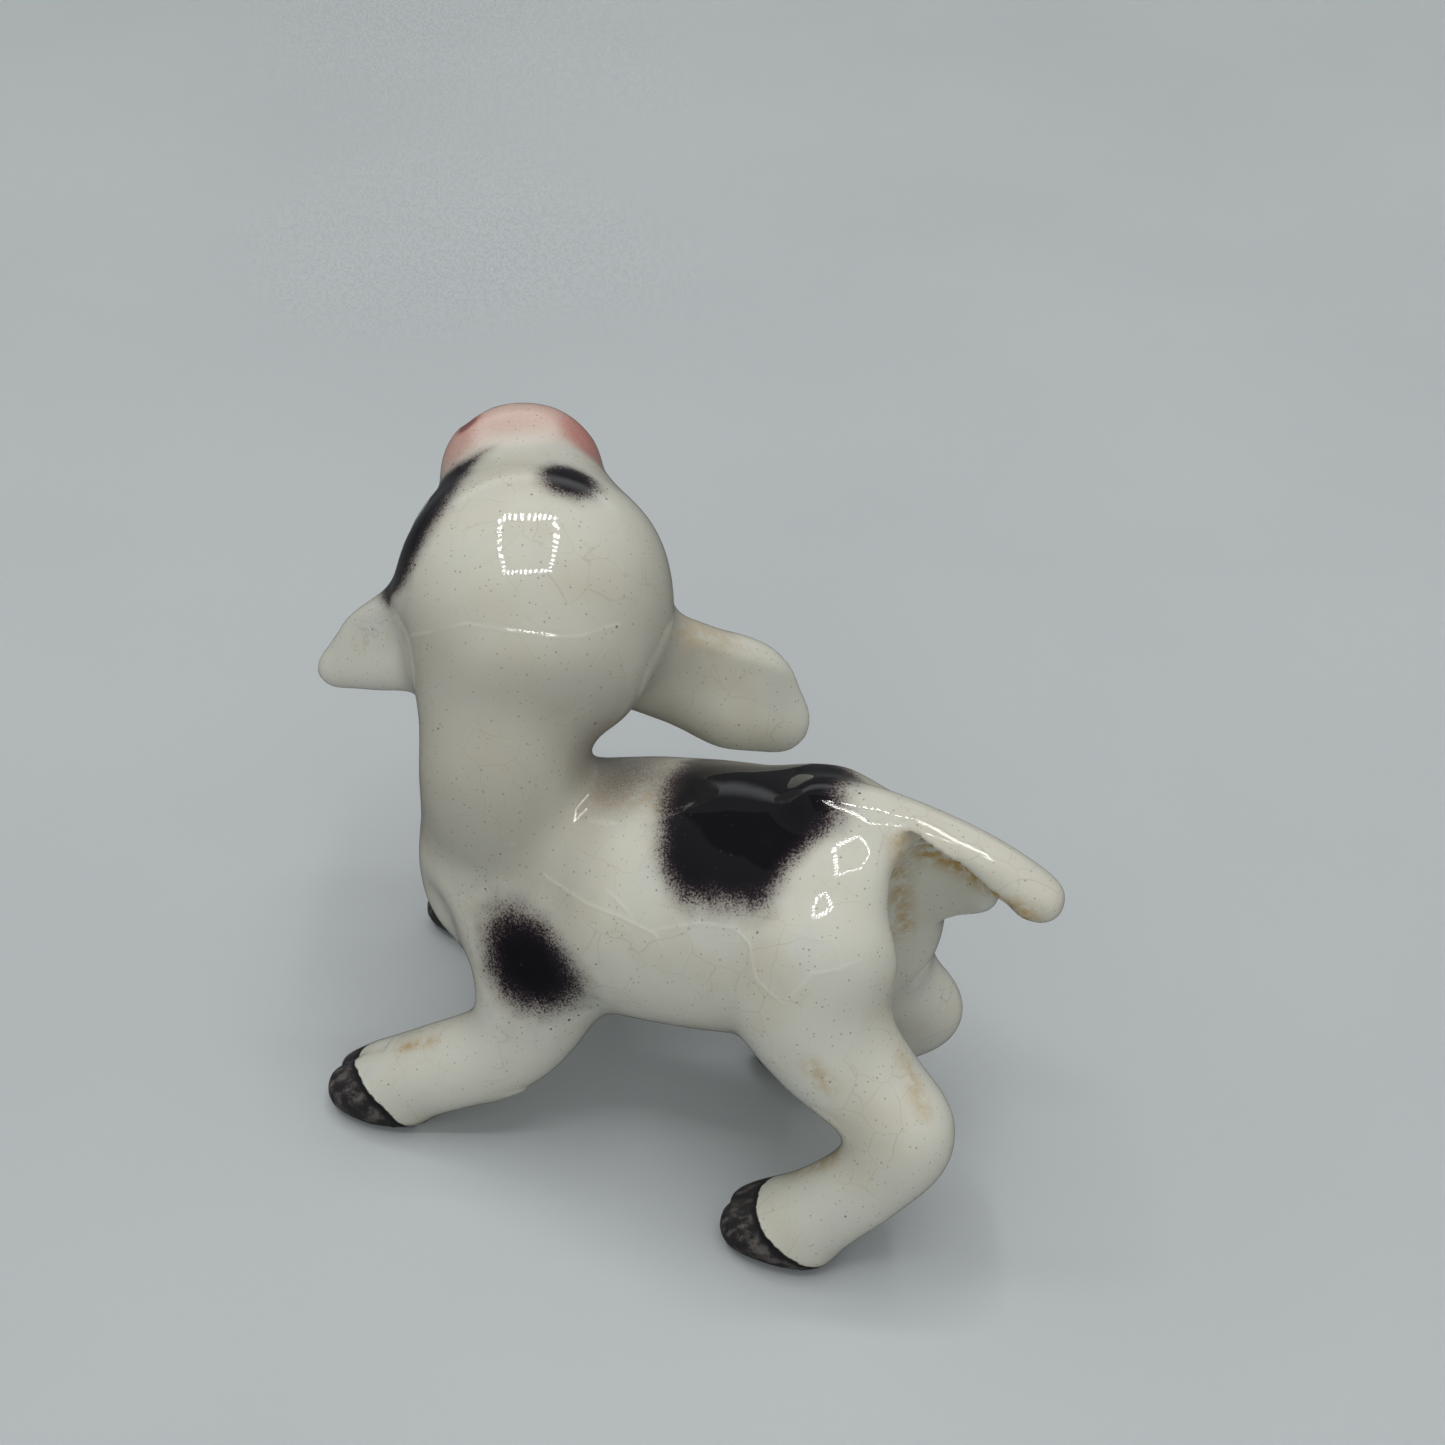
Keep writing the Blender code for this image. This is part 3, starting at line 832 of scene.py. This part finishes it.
def add_specks(t, where, body):
    """Fine and coarse specks all over, and the tan stains."""
    fine = t.dots(where, scale=2.2, size=0.24, share=0.6)
    body = t.mix(t.times(fine, 0.52), body, FINE_SPECK)
    coarse = t.dots(where, scale=0.60, size=0.085, share=0.45)
    body = t.mix(t.times(coarse, 0.75), body, COARSE_SPECK)
    patchy = t.ramp(t.noise(where, scale=0.9, detail=4.0, rough=0.65), 0.30, 0.62)
    stain = t.times(t.times(t.layer("stain"), patchy), 0.85, clamp=True)
    return t.mix(stain, body, TAN)


def add_black(t, where, body):
    """Sprayed black: solid inside, a haze and single drops at the edge, stray drops further out."""
    black = t.layer("black")
    drops = t.noise(where, scale=6.0, detail=2.5, rough=0.8)
    wobble = t.swing(t.noise(where, scale=0.8), 0.22)
    density = t.times(t.math("ADD", black, wobble), t.ramp(black, 0.0, 0.10))
    sprayed = t.math("ADD", density, t.swing(drops, 1.35))
    haze = t.times(t.ramp(density, 0.02, 0.75), 0.88)
    body = t.mix(haze, body, BLACK_HAZE)
    body = t.mix(t.ramp(sprayed, 0.36, 0.72), body, BLACK_DROPS)
    body = t.mix(t.ramp(density, 0.62, 0.92), body, BLACK)
    stray = t.times(t.dots(where, scale=1.25, size=0.19, share=0.45), t.ramp(black, 0.04, 0.20))
    body = t.mix(t.times(stray, 0.9), body, STRAY_DROP)
    grey = t.times(t.layer("grey"), t.ramp(drops, 0.3, 0.7, to_low=0.5))
    return t.mix(grey, body, SMUDGE)


def add_eyes(t, body):
    """Plain dark eyes, left bare round the edge where the black patch reaches them."""
    eyes = t.layer("eyes")
    body = t.mix(t.ramp(eyes, 1.60, 1.48), body, IVORY)
    return t.mix(t.ramp(eyes, 1.05, 0.97), body, EYE)


def add_hooves(t, where, streaks, body):
    """Hooves brushed thinly over the glaze. Gives the colour, and where that paint is."""
    edge = t.math("ADD", t.layer("hoof"), t.swing(t.noise(where, scale=0.7, detail=3.0), 0.9))
    hoof = t.ramp(edge, 0.08, -0.08)
    worn = t.ramp(streaks, 0.46, 0.66)
    tone = t.mix(t.times(worn, 0.85), HOOF_BLACK, HOOF_WORN)
    tone = t.mix(t.ramp(edge, -0.75, -0.25), tone, HOOF_RIM)
    return t.mix(hoof, body, tone), hoof


def glaze_material():
    material = bpy.data.materials.new("painted_glaze")
    material.use_nodes = True
    t = Tree(material.node_tree)
    shader = t.nodes["Principled BSDF"]
    where = t.place()
    body = bare_glaze(t, where)
    body = add_muzzle(t, where, body)
    body = add_specks(t, where, body)
    body = add_black(t, where, body)
    body = add_eyes(t, body)
    stretched = t.vector("MULTIPLY", where, BRUSH_STRETCH)
    streaks = t.noise(stretched, scale=0.9, detail=5.0, rough=0.7)
    body, hoof = add_hooves(t, where, streaks, body)
    t.plug(shader.inputs["Base Color"], body)
    rough = t.ramp(hoof, 0.0, 1.0, GLAZE_ROUGHNESS, HOOF_ROUGHNESS)
    t.plug(shader.inputs["Roughness"], rough)
    shader.inputs["IOR"].default_value = GLAZE_IOR
    # orange peel of the glaze and dry brush marks on the hooves
    peel = t.noise(where, scale=1.6)
    marks = t.times(t.times(streaks, hoof), BRUSH_MARKS)
    bump = t.nodes.new("ShaderNodeBump")
    bump.inputs["Strength"].default_value = BUMP_STRENGTH
    bump.inputs["Distance"].default_value = BUMP_DISTANCE * MM
    t.plug(bump.inputs["Height"], t.math("ADD", peel, marks))
    t.plug(shader.inputs["Normal"], bump.outputs[0])
    return material


def make_calf():
    obj = cast_copy()
    refine_near_threads(obj)
    sculpt(obj)
    paint(obj)
    obj.data.materials.append(glaze_material())
    obj.data.shade_smooth()
    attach(obj, "root")
    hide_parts("calf")


# table: half size, its two clouded tones, how much dimmer the glaze mirrors it, and its roughness
TABLE_HALF_METRES = 1.5
TABLE_SEGMENTS = 8
TABLE_DARK = (0.475, 0.505, 0.520, 1.0)
TABLE_PALE = (0.500, 0.530, 0.545, 1.0)
TABLE_DIMMED = 0.85
NO_LIGHT = (0.0, 0.0, 0.0, 1.0)
TABLE_ROUGHNESS = 0.75


def make_table():
    """A pale seamless sheet under the calf."""
    bm = bmesh.new()
    bmesh.ops.create_grid(bm, x_segments=TABLE_SEGMENTS, y_segments=TABLE_SEGMENTS,
                          size=TABLE_HALF_METRES)
    mesh = bpy.data.meshes.new("table")
    bm.to_mesh(mesh)
    bm.free()
    table = bpy.data.objects.new("table", mesh)
    bpy.context.scene.collection.objects.link(table)
    material = bpy.data.materials.new("pale_sheet")
    material.use_nodes = True
    t = Tree(material.node_tree)
    tone = t.ramp(t.noise(t.place(), scale=0.012, detail=3.0), 0.3, 0.7)
    colour = t.mix(tone, TABLE_DARK, TABLE_PALE)
    # where the glaze mirrors it the sheet is painted darker than it is, a painted dimming of its
    # reflection
    mirrored = t.nodes.new("ShaderNodeLightPath").outputs["Is Glossy Ray"]
    colour = t.mix(t.times(mirrored, TABLE_DIMMED), colour, NO_LIGHT)
    shader = t.nodes["Principled BSDF"]
    t.plug(shader.inputs["Base Color"], colour)
    shader.inputs["Roughness"].default_value = TABLE_ROUGHNESS
    mesh.materials.append(material)


# light box: half widths as shares of its height over the calf, then how bright each
# side is for soft light and, mostly dimmer, where the glaze mirrors it
ROOF_HALF = 0.60
HOLE_HALF = 0.255
ROOF_LEVEL = (0.50, 0.12)
HOLE_LEVEL = (0.15, 0.03)
WALL_LOW = (0.36, 0.10)
WALL_HIGH = (0.46, 0.26)
WALL_FOOT = -0.2
FRONT_SHARE = (2.1, 0.04)
BACK_SHARE = (0.35, 1.0)
# how the front and back walls blend into the sides, and the roof and its hole into what is round
# them
FRONT_BLEND = (0.15, -0.20)
BACK_BLEND = (-0.15, 0.20)
ROOF_BLEND = (0.98, 1.02)
HOLE_BLEND = (0.97, 1.03)
# band of the back wall that the black on the calf's back mirrors
BACK_SHEEN = 0.75
SHEEN_TOP = (1.0, 0.65)
SHEEN_FOOT = (0.35, 0.60)
LIGHT_TONE = (0.98, 1.0, 1.0, 1.0)
BACKDROP_TONE = (0.46, 0.49, 0.505, 1.0)
SMALLEST_SIDE = 0.001


def make_world():
    """A white light box: roof with a dark hole in the middle, pale walls, open to the camera."""
    world = bpy.data.worlds.new("light_box")
    bpy.context.scene.world = world
    world.use_nodes = True
    t = Tree(world.node_tree)
    where = t.nodes.new("ShaderNodeTexCoord").outputs["Generated"]
    turn = t.nodes.new("ShaderNodeVectorRotate")
    turn.rotation_type = "Z_AXIS"
    t.links.new(where, turn.inputs["Vector"])
    turn.inputs["Angle"].default_value = -math.radians(CAMERA_AZIMUTH)
    split = t.nodes.new("ShaderNodeSeparateXYZ")
    t.links.new(turn.outputs[0], split.inputs[0])
    x, y, z = split.outputs
    path = t.nodes.new("ShaderNodeLightPath")
    camera = path.outputs["Is Camera Ray"]
    mirrored = path.outputs["Is Glossy Ray"]

    def level(pair):
        return t.math("ADD", pair[0], t.times(mirrored, pair[1] - pair[0]))

    def blend(share, one, two):
        return t.math("ADD", one, t.times(share, t.math("SUBTRACT", two, one)))

    aside = t.math("ABSOLUTE", x)
    side = t.math("MAXIMUM", aside, t.math("ABSOLUTE", y))
    height = t.math("DIVIDE", z, t.math("MAXIMUM", side, SMALLEST_SIDE))
    front = t.ramp(t.math("ADD", y, aside), *FRONT_BLEND)
    back = t.ramp(t.math("SUBTRACT", y, aside), *BACK_BLEND)
    wall = blend(t.ramp(height, WALL_FOOT, 1.0 / ROOF_HALF), level(WALL_LOW), level(WALL_HIGH))
    wall = t.times(wall, blend(front, 1.0, level(FRONT_SHARE)))
    wall = t.times(wall, blend(back, 1.0, level(BACK_SHARE)))
    sheen = t.times(t.times(mirrored, back), t.ramp(height, *SHEEN_TOP))
    sheen = t.times(sheen, t.ramp(height, *SHEEN_FOOT))
    wall = t.math("ADD", wall, t.times(sheen, BACK_SHEEN))
    roof = t.ramp(height, ROOF_BLEND[0] / ROOF_HALF, ROOF_BLEND[1] / ROOF_HALF)
    hole = t.ramp(height, HOLE_BLEND[0] / HOLE_HALF, HOLE_BLEND[1] / HOLE_HALF)
    light = blend(roof, wall, level(ROOF_LEVEL))
    light = blend(hole, light, level(HOLE_LEVEL))
    light = blend(camera, light, 1.0)
    background = t.nodes["Background"]
    t.plug(background.inputs["Color"], t.mix(camera, LIGHT_TONE, BACKDROP_TONE))
    t.plug(background.inputs["Strength"], light)


# square ring of lamps: height over the table and shift to the camera in metres, half width as a
# share of that height, and a strip's width as a share of the ring's
RING_HEIGHT = 1.0
RING_FORWARD = 0.07
RING_HALF = 0.29
RING_STRIP = 0.085
# each strip is a comb: how many bars, the lit share of each, how bright, and the power in watts
RING_BARS = 10.0
RING_DUTY = 0.36
RING_GAIN = 1.6
RING_POWER = 2.5
LAMP_TONE = (1.0, 0.995, 0.98)


def make_lamps():
    """A square ring of lamp strips over the calf, each a comb of small bright bars."""
    side = 2.0 * RING_HALF * RING_HEIGHT
    turn = math.radians(CAMERA_AZIMUTH)
    middle = Vector((RING_FORWARD * math.sin(turn), -RING_FORWARD * math.cos(turn), RING_HEIGHT))
    for quarter in range(4):
        a = turn + math.radians(90.0 * quarter)
        out = Vector((math.cos(a), math.sin(a), 0.0))
        light = bpy.data.lights.new("strip", "AREA")
        light.shape = "RECTANGLE"
        light.size = RING_STRIP * side
        light.size_y = side
        light.energy = RING_POWER
        light.color = LAMP_TONE
        light.use_nodes = True
        t = Tree(light.node_tree)
        grid = t.nodes.new("ShaderNodeNewGeometry")
        split = t.nodes.new("ShaderNodeSeparateXYZ")
        t.links.new(grid.outputs["Parametric"], split.inputs[0])
        place = t.math("FRACT", t.times(split.outputs[1], RING_BARS))
        lit = t.math("LESS_THAN", place, RING_DUTY)
        t.plug(t.nodes["Emission"].inputs["Strength"], t.times(lit, RING_GAIN))
        lamp = bpy.data.objects.new("strip", light)
        bpy.context.scene.collection.objects.link(lamp)
        lamp.location = middle + out * side / 2
        lamp.rotation_euler = (0.0, 0.0, a)


def make_camera():
    data = bpy.data.cameras.new("camera")
    data.sensor_width = CAMERA_SENSOR
    data.lens = CAMERA_LENS
    data.clip_start = CAMERA_CLIP * MM
    camera = bpy.data.objects.new("camera", data)
    bpy.context.scene.collection.objects.link(camera)
    a = math.radians(CAMERA_AZIMUTH)
    e = math.radians(CAMERA_ELEVATION)
    back = Vector((math.sin(a) * math.cos(e), -math.cos(a) * math.cos(e), math.sin(e)))
    camera.location = CAMERA_AT * MM
    camera.rotation_euler = (-back).to_track_quat("-Z", "Y").to_euler()
    bpy.context.scene.camera = camera


make_calf()
make_table()
make_world()
make_lamps()
make_camera()
bpy.context.scene.view_settings.view_transform = "Standard"
